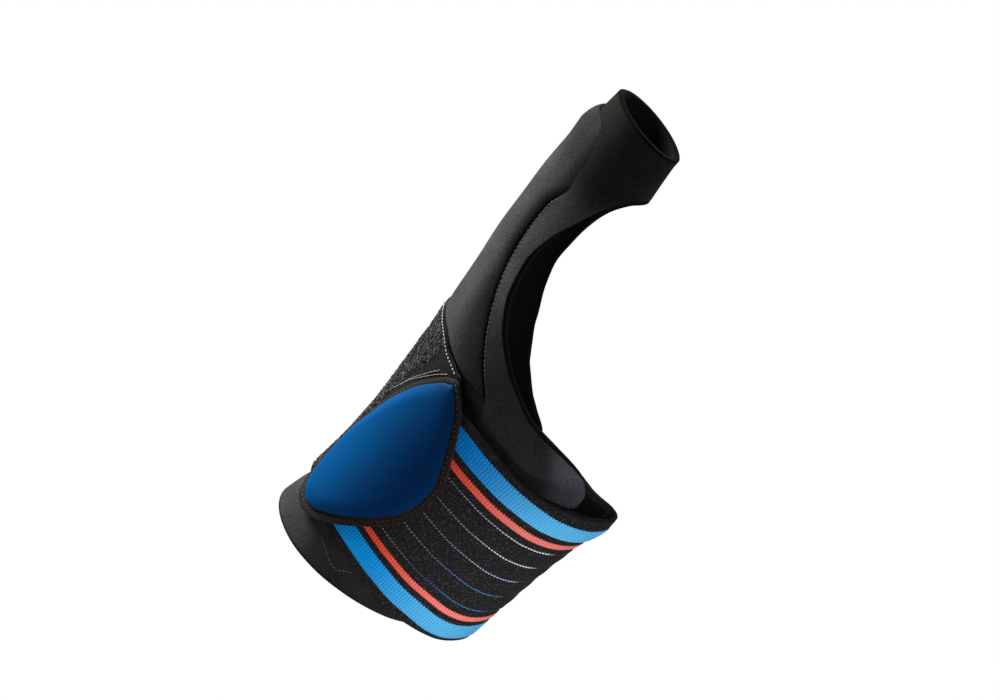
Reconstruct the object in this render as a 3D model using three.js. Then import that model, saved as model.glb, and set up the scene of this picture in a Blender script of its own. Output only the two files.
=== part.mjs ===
// Wrist and thumb brace in the form that it has when worn.
// Millimetres. +Z runs along the wrist from the forearm to the hand, -Y is the front with the badge,
// and -X is the thumb side. The origin is on the wrist's axis, half way up the elastic strap.
// Every piece is a sheet of cloth laid round one body: a stack of level ellipses that narrows from
// the wrist to the thumb. A place on it is an angle round the ellipse (0 at +X, 270 at the front), a
// height, and an offset outwards from the outer face of the thumb sleeve.

import * as THREE from 'three';

// Cloth thicknesses and the gap left between two layers
const LAYER_GAP = 0.45;
const NEOPRENE = 2.5;
const WRAP_CLOTH = 2.0;
const ELASTIC = 1.6;
const TAB_CLOTH = 1.2;
const PLATE_EDGE = 0.7;
const PLATE_DOME = 1.3;
const STAY_EDGE = 0.9;
const STAY_PUFF_LOW = 3.0;
const STAY_PUFF_HIGH = 2.0;

// Offsets of the layers' inner faces, from the sleeve outwards
const WRAP_INNER = LAYER_GAP;
const STRAP_INNER = WRAP_INNER + WRAP_CLOTH + LAYER_GAP;
const TAB_INNER = STRAP_INNER + ELASTIC + LAYER_GAP;
const PLATE_INNER = TAB_INNER + TAB_CLOTH + LAYER_GAP;

// The body's level ellipses: the extent of the sleeve's outer face each way at a height z
const BODY = [
  { z: -42, left: -34.4, right: 28.7, front: -20.4, back: 18.0 },
  { z: -33, left: -33.3, right: 29.3, front: -20.6, back: 18.3 },
  { z: -24, left: -31.4, right: 29.7, front: -20.9, back: 18.7 },
  { z: -12, left: -31.0, right: 30.1, front: -21.8, back: 19.5 },
  { z: 2, left: -31.5, right: 30.8, front: -23.0, back: 20.5 },
  { z: 18, left: -33.2, right: 32.5, front: -25.3, back: 21.8 },
  { z: 30, left: -34.8, right: 35.2, front: -26.8, back: 22.5 },
  { z: 34.5, left: -35.4, right: 34.6, front: -26.9, back: 22.8 },
  { z: 39, left: -36.1, right: 29.8, front: -26.5, back: 23.0 },
  { z: 48, left: -38.1, right: 15.0, front: -24.0, back: 22.8 },
  { z: 60, left: -40.7, right: -2.0, front: -17.5, back: 22.0 },
  { z: 74, left: -43.8, right: -13.0, front: -9.0, back: 21.8 },
  { z: 90, left: -46.4, right: -18.0, front: -2.8, back: 22.8 },
  { z: 103, left: -47.6, right: -19.6, front: -1.6, back: 24.2 },
  { z: 114, left: -49.3, right: -21.4, front: 0.4, back: 25.4 },
  { z: 122, left: -49.2, right: -22.3, front: 1.9, back: 25.6 },
];

// The opening for the hand: how far its front and back edges turn from +X, in degrees.
// It ends in the web arch, above which the sleeve is a whole tube.
const HAND_OPENING = [
  { z: 8, front: 97, back: 76 },
  { z: 24, front: 90, back: 80 },
  { z: 28.2, front: 78, back: 91 },
  { z: 29.4, front: 42, back: 94 },
  { z: 30.6, front: 29.5, back: 97 },
  { z: 37.4, front: 27.6, back: 106.5 },
  { z: 38.7, front: 28.8, back: 107.2 },
  { z: 41.5, front: 42.6, back: 107.5 },
  { z: 43.6, front: 59.5, back: 107.2 },
  { z: 45, front: 69.5, back: 107 },
  { z: 48, front: 79, back: 106.4 },
  { z: 52, front: 90, back: 104.3 },
  { z: 59, front: 103, back: 101.5 },
  { z: 66, front: 109, back: 98 },
  { z: 74, front: 108, back: 88.5 },
  { z: 82, front: 99.5, back: 79 },
  { z: 90, front: 85.5, back: 66 },
  { z: 97.5, front: 71, back: 45 },
  { z: 102, front: 58, back: 23 },
  { z: 105.5, front: 41, back: 2 },
  { z: 107, front: 16, back: -16 },
];
const MOUTH_HEIGHT = 121.8;
const MOUTH_ROWS = 5;
const MOUTH_DROP_BACK = 0.9;
const MOUTH_DROP_RIGHT = 1.5;

// The tongue of the front panel, which bends in from the strap towards the palm
const TONGUE_BEND = 4;
const TONGUE_BEND_FROM = { angle: 275, z: 50 };
const TONGUE_BEND_TO = { angle: 325, z: 34 };

// The padded pocket on the back of the thumb: how sharply its upper end rounds off, and its side edges
const STAY_END_HIGH = 12;
const STAY_EDGES = [
  { z: 40.8, back: 120, front: 254 },
  { z: 48, back: 122.5, front: 247.8 },
  { z: 58, back: 127, front: 239.8 },
  { z: 68, back: 135, front: 233 },
  { z: 78, back: 138, front: 231 },
  { z: 88, back: 134, front: 233.5 },
  { z: 97, back: 126, front: 243.7 },
  { z: 106, back: 122, front: 245.3 },
  { z: 116, back: 122, front: 241.5 },
];

// Height of the pocket's lower end at a share of its width, from its back edge to its front edge
const STAY_FOOT = [
  { share: 0, z: 45.2 },
  { share: 0.57, z: 44.9 },
  { share: 0.643, z: 44.6 },
  { share: 0.714, z: 44 },
  { share: 0.786, z: 42.5 },
  { share: 0.83, z: 41.8 },
  { share: 0.857, z: 41.45 },
  { share: 0.9, z: 41.1 },
  { share: 1, z: 41.2 },
];

// The wrist wrap's two rims round the wrist
const WRAP_RIMS = [
  { angle: 0, low: -27.0, high: 31.0 },
  { angle: 40, low: -32.0, high: 24.0 },
  { angle: 90, low: -37.5, high: 20.5 },
  { angle: 120, low: -38.0, high: 25.0 },
  { angle: 145, low: -38.0, high: 36.0 },
  { angle: 165, low: -37.5, high: 43.5 },
  { angle: 203, low: -39.9, high: 44.0 },
  { angle: 218, low: -40.5, high: 42.0 },
  { angle: 231, low: -40.7, high: 39.6 },
  { angle: 250, low: -40.0, high: 35.0 },
  { angle: 270, low: -38.1, high: 32.2 },
  { angle: 293, low: -34.7, high: 30.8 },
  { angle: 320, low: -29.0, high: 32.0 },
  { angle: 360, low: -27.0, high: 31.0 },
];

// The strap's two rims, from its end under the badge round the front, right side and back
const STRAP_RIMS = [
  { angle: 232, low: -26.6, high: 34.4 },
  { angle: 250, low: -27.4, high: 34.4 },
  { angle: 270, low: -29.2, high: 33.3 },
  { angle: 294, low: -31.4, high: 31.8 },
  { angle: 320, low: -31.2, high: 33.0 },
  { angle: 345, low: -29.4, high: 33.4 },
  { angle: 366, low: -28.8, high: 31.9 },
  { angle: 382, low: -29.8, high: 29.3 },
  { angle: 404, low: -32.2, high: 24.8 },
  { angle: 450, low: -36.0, high: 22.4 },
  { angle: 510, low: -35.5, high: 23.0 },
];

// The loop patch beside the strap's two ends, with a corner that reaches forward above the strap
const PATCH_BACK = 155;
const PATCH_FRONT_BELOW = 229;
const PATCH_FRONT_ABOVE = 239;
const PATCH_CORNER = { from: 35.4, to: 37 };
const PATCH_LOW = -25;
const PATCH_TOP = [
  { share: 0, z: 44.6 },
  { share: 0.5, z: 44.4 },
  { share: 0.61, z: 43.9 },
  { share: 0.7, z: 43.4 },
  { share: 0.77, z: 42.5 },
  { share: 0.82, z: 41.6 },
  { share: 0.9, z: 41 },
  { share: 1, z: 40.3 },
];

// The leaf outline of the blue plate, the cloth's length per degree under it, and how far the
// stitched tab stands out round it at its lower and upper end
const LEAF = [
  { z: -27, back: 219.3, front: 221.3 },
  { z: -26.2, back: 214.3, front: 226.9 },
  { z: -24.4, back: 210, front: 231 },
  { z: -21, back: 206.2, front: 237.3 },
  { z: -16, back: 203.4, front: 245.1 },
  { z: -9.6, back: 202.1, front: 253.3 },
  { z: -2.5, back: 202.7, front: 259.9 },
  { z: 5, back: 206.9, front: 262.2 },
  { z: 11.2, back: 210.6, front: 261.9 },
  { z: 17, back: 214.6, front: 259 },
  { z: 22.6, back: 219, front: 254.7 },
  { z: 28, back: 223.6, front: 250.6 },
  { z: 33, back: 229.6, front: 246.5 },
  { z: 36.6, back: 234.8, front: 242.7 },
  { z: 38.3, back: 239, front: 240.8 },
];
const LEAF_GIRTH = 0.6;
const TAB_MARGIN = { low: 3.2, high: 1.4 };
const NO_MARGIN = { low: 0, high: 0 };

// Facets each way
const SLEEVE_COLUMNS = 26;
const STAY_COLUMNS = 14;
const STAY_ROWS = 20;
const RING_COLUMNS = 44;
const RING_ROWS = 9;
const PATCH_COLUMNS = 12;
const PATCH_ROWS = 12;
const PATCH_CORNER_ROWS = 3;
const LEAF_SIDES = 32;
const LEAF_RINGS = 5;
const LEAF_STEP = 0.2;
const DOME_FLATNESS = 6;

const mix = (a, b, t) => a + (b - a) * t;

// Eased step from 0 at a to 1 at b
const ease = (a, b, x) => THREE.MathUtils.smoothstep((x - a) / (b - a), 0, 1);

// Value of one column of a table at a place along its first column. The curve through the rows is a
// cubic whose slopes are harmonic means, so it never swings past a row.
function along(table, place, column) {
  const [key] = Object.keys(table[0]);
  const last = table.length - 1;
  const at = THREE.MathUtils.clamp(place, table[0][key], table[last][key]);
  const found = table.findIndex((row, i) => i > 0 && at <= row[key]);
  const rise = (i) => (table[i + 1][column] - table[i][column]) / (table[i + 1][key] - table[i][key]);
  const slope = (i) => {
    const before = i > 0 ? rise(i - 1) : 0;
    const after = i < last ? rise(i) : 0;
    return before * after > 0 ? (2 * before * after) / (before + after) : 0;
  };
  const from = table[found - 1];
  const to = table[found];
  const span = to[key] - from[key];
  const t = (at - from[key]) / span;
  const reach = to[column] - from[column];
  const bend = t * (1 - t) * span;
  const lean = slope(found - 1) * (1 - t) - slope(found) * t;
  return from[column] + reach * t * t * (3 - 2 * t) + bend * lean;
}

// Point of the body at an angle in degrees, a height and an offset outwards
function bodyPoint(angle, height, offset) {
  const left = along(BODY, height, 'left');
  const right = along(BODY, height, 'right');
  const front = along(BODY, height, 'front');
  const back = along(BODY, height, 'back');
  const turn = THREE.MathUtils.degToRad(angle);
  return new THREE.Vector3(
    (left + right) / 2 + ((right - left) / 2 + offset) * Math.cos(turn),
    (front + back) / 2 + ((back - front) / 2 + offset) * Math.sin(turn),
    height,
  );
}

// A sheet of cloth as a closed wall on a grid. place(u, row) gives the points of the inner and outer
// face at a share u of the way round. From the row seam upwards the two side edges are one, so the
// sheet is a tube there: seam 0 is a whole ring, and no seam is an open sheet.
function clothWall(columns, rows, place, seam = Infinity) {
  const positions = [];
  for (let row = 0; row <= rows; row += 1) {
    for (let column = 0; column <= columns; column += 1) {
      const { inner, outer } = place(column / columns, row);
      positions.push(...inner.toArray(), ...outer.toArray());
    }
  }
  const vertex = (column, row, face) => {
    const joined = column === columns && row >= seam ? 0 : column;
    return 2 * (row * (columns + 1) + joined) + face;
  };
  const index = [];
  const quad = (a, b, c, d) => index.push(a, b, c, a, c, d);
  for (let row = 0; row < rows; row += 1) {
    for (let column = 0; column < columns; column += 1) {
      const corners = [[column, row], [column + 1, row], [column + 1, row + 1], [column, row + 1]];
      quad(...corners.map(([c, r]) => vertex(c, r, 1)));
      quad(...corners.reverse().map(([c, r]) => vertex(c, r, 0)));
    }
    if (row < seam) {
      quad(vertex(0, row, 0), vertex(0, row, 1), vertex(0, row + 1, 1), vertex(0, row + 1, 0));
      quad(
        vertex(columns, row, 1), vertex(columns, row, 0),
        vertex(columns, row + 1, 0), vertex(columns, row + 1, 1),
      );
    }
  }
  for (let column = 0; column < columns; column += 1) {
    quad(vertex(column, 0, 0), vertex(column + 1, 0, 0), vertex(column + 1, 0, 1), vertex(column, 0, 1));
    quad(
      vertex(column, rows, 1), vertex(column + 1, rows, 1),
      vertex(column + 1, rows, 0), vertex(column, rows, 0),
    );
  }
  const used = [...new Set(index)].sort((a, b) => a - b);
  const packed = new Map(used.map((old, i) => [old, i]));
  const geometry = new THREE.BufferGeometry();
  const kept = used.flatMap((old) => positions.slice(3 * old, 3 * old + 3));
  geometry.setAttribute('position', new THREE.Float32BufferAttribute(kept, 3));
  geometry.setIndex(index.map((old) => packed.get(old)));
  geometry.computeVertexNormals();
  return geometry;
}

// A wall that follows the body between two offsets at a given angle and height
function bodyWall(angle, height, innerOffset, outerOffset) {
  return {
    inner: bodyPoint(angle, height, innerOffset),
    outer: bodyPoint(angle, height, outerOffset),
  };
}

// Thumb sleeve: open on the hand's side up to the web arch, then a tube to its oblique mouth
function thumbSleeve() {
  const webHeight = HAND_OPENING[HAND_OPENING.length - 1].z;
  const heights = [HAND_OPENING[0].z];
  HAND_OPENING.slice(1).forEach(({ z }) => {
    heights.push(mix(heights[heights.length - 1], z, 0.5), z);
  });
  const seam = heights.length - 1;
  for (let row = 1; row <= MOUTH_ROWS; row += 1) {
    heights.push(mix(webHeight, MOUTH_HEIGHT, row / MOUTH_ROWS));
  }
  const place = (u, row) => {
    const height = heights[row];
    const backEdge = along(HAND_OPENING, height, 'back');
    const frontEdge = 360 - along(HAND_OPENING, height, 'front');
    const angle = mix(backEdge, frontEdge, u);
    const turn = THREE.MathUtils.degToRad(angle);
    const drop = MOUTH_DROP_BACK * Math.sin(turn) + MOUTH_DROP_RIGHT * Math.cos(turn);
    const bendRound = ease(TONGUE_BEND_FROM.angle, TONGUE_BEND_TO.angle, angle);
    const bendDown = ease(TONGUE_BEND_FROM.z, TONGUE_BEND_TO.z, height);
    const bend = height < webHeight ? TONGUE_BEND * bendRound * bendDown : 0;
    const wall = bodyWall(angle, height, -NEOPRENE - bend, -bend);
    const slant = drop * ease(webHeight, MOUTH_HEIGHT, height);
    wall.inner.z -= slant;
    wall.outer.z -= slant;
    return wall;
  };
  return clothWall(SLEEVE_COLUMNS, heights.length - 1, place, seam);
}

// Padded panel on the back of the thumb: blunt at its foot, thin at its other edges, crowned between
function stayPanel() {
  const high = STAY_EDGES[STAY_EDGES.length - 1].z;
  const place = (u, row) => {
    const v = row / STAY_ROWS;
    const height = mix(along(STAY_FOOT, u, 'z'), high, v);
    const angle = mix(along(STAY_EDGES, height, 'back'), along(STAY_EDGES, height, 'front'), u);
    const end = Math.min(1, Math.sqrt(STAY_END_HIGH * (1 - v)));
    const puff = mix(STAY_PUFF_LOW, STAY_PUFF_HIGH, v) * Math.sqrt(Math.sin(Math.PI * u)) * end;
    return bodyWall(angle, height, LAYER_GAP, LAYER_GAP + STAY_EDGE + puff);
  };
  return clothWall(STAY_COLUMNS, STAY_ROWS, place);
}

// A band between two rims that follow a table, from its first angle to its last
function rimmedBand(rims, innerOffset, thickness, seam) {
  const first = rims[0].angle;
  const last = rims[rims.length - 1].angle;
  const place = (u, row) => {
    const angle = mix(first, last, u);
    const height = mix(along(rims, angle, 'low'), along(rims, angle, 'high'), row / RING_ROWS);
    return bodyWall(angle, height, innerOffset, innerOffset + thickness);
  };
  return clothWall(RING_COLUMNS, RING_ROWS, place, seam);
}

// Loop patch on the thumb side of the wrap
function loopPatch() {
  const place = (u, row) => {
    const height = row < PATCH_ROWS
      ? mix(PATCH_LOW, PATCH_CORNER.from, row / PATCH_ROWS)
      : mix(PATCH_CORNER.from, along(PATCH_TOP, u, 'z'), (row - PATCH_ROWS) / PATCH_CORNER_ROWS);
    const corner = ease(PATCH_CORNER.from, PATCH_CORNER.to, height);
    const angle = mix(PATCH_BACK, mix(PATCH_FRONT_BELOW, PATCH_FRONT_ABOVE, corner), u);
    return bodyWall(angle, height, STRAP_INNER, STRAP_INNER + ELASTIC);
  };
  return clothWall(PATCH_COLUMNS, PATCH_ROWS + PATCH_CORNER_ROWS, place);
}

// Place on the leaf's outline, which runs up the front edge and down the back edge as the turn goes
// round a circle. The margin moves it outwards along the cloth, square to the outline.
function leafOutline(turn, margin) {
  const low = LEAF[0].z;
  const high = LEAF[LEAF.length - 1].z;
  const lift = (t) => (1 - Math.cos(t)) / 2;
  const flat = (t) => {
    const z = mix(low, high, lift(t));
    return new THREE.Vector2(along(LEAF, z, Math.sin(t) >= 0 ? 'front' : 'back') * LEAF_GIRTH, z);
  };
  const ahead = flat(turn + LEAF_STEP).sub(flat(turn - LEAF_STEP)).normalize();
  const { x, y } = flat(turn);
  const out = mix(margin.low, margin.high, lift(turn));
  return { angle: (x + out * ahead.y) / LEAF_GIRTH, height: y - out * ahead.x };
}

// A leaf-shaped sheet on the front of the strap, raised to a dome: rings that shrink from its outline,
// grown by a margin, to one point in its middle
function leafSheet(margin, innerOffset, edge, dome) {
  const outline = Array.from({ length: LEAF_SIDES }, (_, side) => (
    leafOutline((2 * Math.PI * (side + 0.5)) / LEAF_SIDES, margin)
  ));
  const mean = (key) => outline.reduce((sum, place) => sum + place[key], 0) / LEAF_SIDES;
  const middle = { angle: mean('angle'), height: mean('height') };
  const positions = [];
  const addPoint = (place, share) => {
    const angle = mix(middle.angle, place.angle, share);
    const height = mix(middle.height, place.height, share);
    const crown = dome * Math.sqrt(1 - share ** DOME_FLATNESS);
    const { inner, outer } = bodyWall(angle, height, innerOffset, innerOffset + edge + crown);
    positions.push(...inner.toArray(), ...outer.toArray());
  };
  for (let ring = 0; ring < LEAF_RINGS; ring += 1) {
    outline.forEach((place) => addPoint(place, 1 - ring / LEAF_RINGS));
  }
  addPoint(middle, 0);
  const vertex = (ring, side, face) => {
    const point = ring < LEAF_RINGS ? ring * LEAF_SIDES + (side % LEAF_SIDES) : LEAF_RINGS * LEAF_SIDES;
    return 2 * point + face;
  };
  const index = [];
  for (let side = 0; side < LEAF_SIDES; side += 1) {
    const next = side + 1;
    index.push(vertex(0, side, 0), vertex(0, next, 0), vertex(0, next, 1));
    index.push(vertex(0, side, 0), vertex(0, next, 1), vertex(0, side, 1));
    for (let ring = 0; ring < LEAF_RINGS; ring += 1) {
      const within = ring + 1;
      index.push(vertex(ring, side, 1), vertex(ring, next, 1), vertex(within, side, 1));
      index.push(vertex(ring, next, 0), vertex(ring, side, 0), vertex(within, side, 0));
      if (within < LEAF_RINGS) {
        index.push(vertex(ring, next, 1), vertex(within, next, 1), vertex(within, side, 1));
        index.push(vertex(within, next, 0), vertex(ring, next, 0), vertex(within, side, 0));
      }
    }
  }
  const geometry = new THREE.BufferGeometry();
  geometry.setAttribute('position', new THREE.Float32BufferAttribute(positions, 3));
  geometry.setIndex(index);
  geometry.computeVertexNormals();
  return geometry;
}

function finish(color, roughness) {
  return new THREE.MeshStandardMaterial({ color, roughness, metalness: 0 });
}

const FINISHES = {
  neoprene: finish(0x2c2a2e, 0.85),
  loop: finish(0x333236, 0.95),
  elastic: finish(0x2f7fc4, 0.8),
  tab: finish(0x1b1a1c, 0.8),
  plate: finish(0x0a4f96, 0.3),
};

const brace = new THREE.Group();

function addPiece(name, geometry, material) {
  const mesh = new THREE.Mesh(geometry, material);
  mesh.name = name;
  brace.add(mesh);
}

addPiece('thumb_sleeve', thumbSleeve(), FINISHES.neoprene);
addPiece('stay_panel', stayPanel(), FINISHES.neoprene);
addPiece('wrist_wrap', rimmedBand(WRAP_RIMS, WRAP_INNER, WRAP_CLOTH, 0), FINISHES.neoprene);
addPiece('elastic_strap', rimmedBand(STRAP_RIMS, STRAP_INNER, ELASTIC), FINISHES.elastic);
addPiece('loop_patch', loopPatch(), FINISHES.loop);
addPiece('badge_tab', leafSheet(TAB_MARGIN, TAB_INNER, TAB_CLOTH, 0), FINISHES.tab);
addPiece('badge_plate', leafSheet(NO_MARGIN, PLATE_INNER, PLATE_EDGE, PLATE_DOME), FINISHES.plate);

export default brace;
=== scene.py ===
"""Looks of a wrist and thumb brace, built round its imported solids.

Every piece is cloth laid round one body: a stack of level ellipses that narrows from the wrist to the
thumb. A place on it is an angle round the ellipse (0 at +X, 270 at the front), a height, and an offset
outwards from the outer face of the thumb sleeve. Sizes are millimetres, and a mesh is in metres.
"""

import math
from collections import namedtuple

import bpy
import numpy as np
from mathutils import Matrix, Vector


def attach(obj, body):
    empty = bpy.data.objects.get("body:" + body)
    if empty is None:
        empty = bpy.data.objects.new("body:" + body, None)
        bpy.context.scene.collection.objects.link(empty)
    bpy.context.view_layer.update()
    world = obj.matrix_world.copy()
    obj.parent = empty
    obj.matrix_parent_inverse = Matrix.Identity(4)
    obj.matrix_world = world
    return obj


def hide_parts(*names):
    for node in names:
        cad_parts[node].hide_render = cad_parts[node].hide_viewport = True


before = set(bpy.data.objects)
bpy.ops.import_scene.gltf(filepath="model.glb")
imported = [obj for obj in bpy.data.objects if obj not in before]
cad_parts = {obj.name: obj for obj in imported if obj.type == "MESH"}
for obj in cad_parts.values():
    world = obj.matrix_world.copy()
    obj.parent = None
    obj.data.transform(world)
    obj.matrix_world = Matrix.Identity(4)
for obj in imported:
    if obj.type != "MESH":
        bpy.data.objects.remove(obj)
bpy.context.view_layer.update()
MM = 0.001


def table(columns, *rows):
    """A short table of sizes as named columns."""
    return dict(zip(columns.split(), np.array(rows, float).T))


# Layers of cloth: the offset of the inner face and the thickness. The plate also has a dome and the width
# in which that rounds off, and the pocket a puff at its lower and its upper end.
NEOPRENE = 2.5
WRAP_INNER, WRAP_CLOTH = 0.45, 2.0
STRAP_INNER, ELASTIC = 2.9, 1.6
TAB_INNER, TAB_CLOTH = 4.75, 1.3
PLATE_INNER, PLATE_EDGE, PLATE_DOME, PLATE_ROUND = 6.2, 0.7, 1.3, 4.0
STAY_INNER, STAY_EDGE, STAY_PUFF_LOW, STAY_PUFF_HIGH = 0.1, 0.4, 3.6, 2.5

# Outer faces of the wrap, of the strap and the patch, and of the tab
WRAP_FACE, STRAP_FACE, TAB_FACE = WRAP_INNER + WRAP_CLOTH, STRAP_INNER + ELASTIC, TAB_INNER + TAB_CLOTH

# The body's level ellipses: the extent of the sleeve's outer face each way at a height
BODY = table(
    "z left right front back",
    (-42, -34.4, 28.7, -20.4, 18.0),
    (-33, -33.3, 29.3, -20.6, 18.3),
    (-24, -31.4, 29.7, -20.9, 18.7),
    (-12, -31.0, 30.1, -21.8, 19.5),
    (2, -31.5, 30.8, -23.0, 20.5),
    (18, -33.2, 32.5, -25.3, 21.8),
    (30, -34.8, 35.2, -26.8, 22.5),
    (34.5, -35.4, 34.6, -26.9, 22.8),
    (39, -36.1, 29.8, -26.5, 23.0),
    (48, -38.1, 15.0, -24.0, 22.8),
    (60, -40.7, -2.0, -17.5, 22.0),
    (74, -43.8, -13.0, -9.0, 21.8),
    (90, -46.4, -18.0, -2.8, 22.8),
    (103, -47.6, -19.6, -1.6, 24.2),
    (114, -49.3, -21.4, 0.4, 25.4),
    (122, -49.2, -22.3, 1.9, 25.6),
)

# The opening for the hand: how far its front and back edges turn from +X, up to the web arch
HAND_OPENING = table(
    "z front back",
    (8, 97, 76),
    (24, 90, 80),
    (28.2, 78, 91),
    (29.4, 42, 94),
    (30.6, 29.5, 97),
    (37.4, 27.6, 106.5),
    (38.7, 28.8, 107.2),
    (41.5, 42.6, 107.5),
    (43.6, 59.5, 107.2),
    (45, 69.5, 107),
    (48, 79, 106.4),
    (52, 90, 104.3),
    (59, 103, 101.5),
    (66, 109, 98),
    (74, 108, 88.5),
    (82, 99.5, 79),
    (90, 85.5, 66),
    (97.5, 71, 45),
    (102, 58, 23),
    (105.5, 41, 2),
    (107, 16, -16),
)
MOUTH_HEIGHT, MOUTH_DROP_BACK, MOUTH_DROP_RIGHT = 121.8, 0.9, 1.5
TONGUE_BEND = 4
TONGUE_BEND_ANGLES, TONGUE_BEND_HEIGHTS = (275, 325), (50, 34)

# The side edges of the padded pocket on the back of the thumb
STAY_EDGES = table(
    "z back front",
    (40.8, 120, 254),
    (48, 122.5, 247.8),
    (58, 127, 239.8),
    (68, 135, 233),
    (78, 138, 231),
    (88, 134, 233.5),
    (97, 126, 243.7),
    (106, 122, 245.3),
    (116, 122, 241.5),
)

# The pocket's crown: how steeply its upper end rises, how blunt it is on the flat part and on the part that
# sinks into the tube, where that part starts and how deep it goes, and the cloth's unevenness
STAY_END_RISE, STAY_CROWN, STAY_WAVES = 12, (0.5, 1.3), 0.25
STAY_SOFT_HEIGHTS, STAY_SOFT_SHARES, STAY_SINK = (88, 102), (0.5, 0.8), (-0.6, -0.25)

# Height of the pocket's lower end at a share of its width, from its back edge to its front edge
STAY_FOOT = table(
    "share z",
    (0, 45.2),
    (0.57, 44.9),
    (0.643, 44.6),
    (0.714, 44),
    (0.786, 42.5),
    (0.83, 41.8),
    (0.857, 41.45),
    (0.9, 41.1),
    (1, 41.2),
)

# The front panel stands proud beside the pocket: its rise, the degrees of the ramp up to it, and the
# heights over which it fades
PANEL_RISE, PANEL_RAMP, PANEL_FADE = 0.9, (0.5, 2.5), (98, 86)

# Painted shade and painted light on the neoprene. Painted shade darkens it up the tube, on the low
# middle of the front panel, along the pocket's front edge and at its upper end, and on the wrap's front;
# painted light makes it paler on the tongue. A pair of places is where the change starts and where it
# is full.
TUBE_HEIGHTS = (88, 104)
PANEL_SHADE, PANEL_SHADE_HEIGHTS, PANEL_SHADE_ANGLES = 0.76, (66, 50), (325, 295)
STAY_SHADE, STAY_SHADE_HEIGHTS = 0.9, (48, 72)
STAY_SHADE_FROM, STAY_SHADE_TO = (0.70, 0.85), (0.90, 0.98)
STAY_TIP_SHADE, STAY_TIP_HEIGHTS = 0.55, (94, 109)
STAY_SUNK_SHARES = (0.7, 1.0)
WRAP_SHADES, WRAP_SHADE_ANGLES, WRAP_LIGHT_ANGLES = (0.2, 0.82), (226, 246), (350, 320)
TONGUE_PALE_ANGLES, TONGUE_PALE_HEIGHTS = (297, 318), (52, 42)

# The rims of the wrist wrap and of the strap
WRAP_RIMS = table(
    "angle low high",
    (0, -27.0, 31.0),
    (40, -32.0, 24.0),
    (90, -37.5, 20.5),
    (120, -38.0, 25.0),
    (145, -38.0, 36.0),
    (165, -37.5, 43.5),
    (203, -39.9, 44.0),
    (218, -40.5, 42.0),
    (231, -40.7, 39.6),
    (250, -40.0, 35.0),
    (270, -38.1, 32.2),
    (293, -34.7, 30.8),
    (320, -29.0, 32.0),
    (360, -27.0, 31.0),
)
STRAP_RIMS = table(
    "angle low high",
    (232, -26.6, 34.4),
    (250, -27.4, 34.4),
    (270, -29.2, 33.3),
    (294, -31.4, 31.8),
    (320, -31.2, 33.0),
    (345, -29.4, 33.4),
    (366, -28.8, 31.9),
    (382, -29.8, 29.3),
    (404, -32.2, 24.8),
    (450, -36.0, 22.4),
    (510, -35.5, 23.0),
)

# The strap's weave, as distances from its lower edge
STRAP_WIDTH = 62.5
BLUE_STRIPES = table("low high", (2.2, 8.4), (53.0, 59.6))
CORAL_STRIPES = table("low high", (10.6, 12.7), (48.0, 50.4))
STRIPE_HEIGHT, STRIPE_SOFT = 0.3, 0.3
THREAD_FIRST, THREAD_PITCH, THREAD_LINES = 15.9, 7.35, 5
THREAD_SHARES = (0.005, 0.995)
RIB_HEIGHT, RIB_ROUND = 0.5, 0.6

# Rows of stitches that sew the strap's far end down: shares along the strap, and how far they go across it
STRAP_END_ROWS, STRAP_END_SHARES = (0.978, 0.99), (0.04, 0.96)

# How far the stretched weave wanders up the strap, in millimetres
WEAVE_WANDER = table(
    "angle up",
    (232, 0),
    (265, 0.2),
    (280, 0.5),
    (292, 0.7),
    (303, 0.1),
    (314, -0.7),
    (330, -0.9),
    (350, -0.6),
    (400, 0),
)

# The loop patch, with a corner that reaches forward above the strap
PATCH_BACK, PATCH_FRONT_BELOW, PATCH_FRONT_ABOVE = 155, 229, 239
PATCH_CORNER = (35.4, 37)
PATCH_LOW = -25
PATCH_TOP = table(
    "share z",
    (0, 44.6),
    (0.5, 44.4),
    (0.61, 43.9),
    (0.7, 43.4),
    (0.77, 42.5),
    (0.82, 41.6),
    (0.9, 41),
    (1, 40.3),
)

# The pile ends at a slanting line beside the tab and at a hem below the patch's upper edge, both softly
PILE_ANGLE, PILE_SLANT, PILE_HEM = 193, 0.64, 1.2
PILE_SOFT_ANGLE, PILE_SOFT_HEM = 1.5, 0.4

# The loops that are tried, over shares along and up the patch. One loop's radius and the range about it,
# its thread's radius, how deep its feet go, and its steps along the arch and round the thread
PILE_SEED, PILE_LOOPS = 7, 6400
PILE_SHARES_ALONG, PILE_SHARES_UP = (0.01, 0.99), (0.01, 0.985)
PILE_RADIUS, PILE_SIZES, PILE_THREAD, PILE_SINK = 0.46, (0.6, 1.2), 0.10, 0.05
PILE_ARCH, PILE_SIDES = 5, 3

# The leaf outline of the blue plate, and how far the tab stands out round it
LEAF = table(
    "z back front",
    (-27, 219.3, 221.3),
    (-26.2, 214.3, 226.9),
    (-24.4, 210, 231),
    (-21, 206.2, 237.3),
    (-16, 203.4, 245.1),
    (-9.6, 202.1, 253.3),
    (-2.5, 202.7, 259.9),
    (5, 206.9, 262.2),
    (11.2, 210.6, 261.9),
    (17, 214.6, 259),
    (22.6, 219, 254.7),
    (28, 223.6, 250.6),
    (33, 229.6, 246.5),
    (36.6, 234.8, 242.7),
    (38.3, 239, 240.8),
)
TAB_MARGIN_LOW, TAB_MARGIN_HIGH = 3.2, 1.4

# A leaf's mesh: millimetres to a degree round the body, the step that finds the outline's direction, its
# rings and the points of each, and how the rings crowd towards the outline
LEAF_GIRTH, LEAF_STEP = 0.6, 0.2
LEAF_RINGS, LEAF_SIDES, LEAF_CROWDING = 26, 140, 0.7

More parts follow.
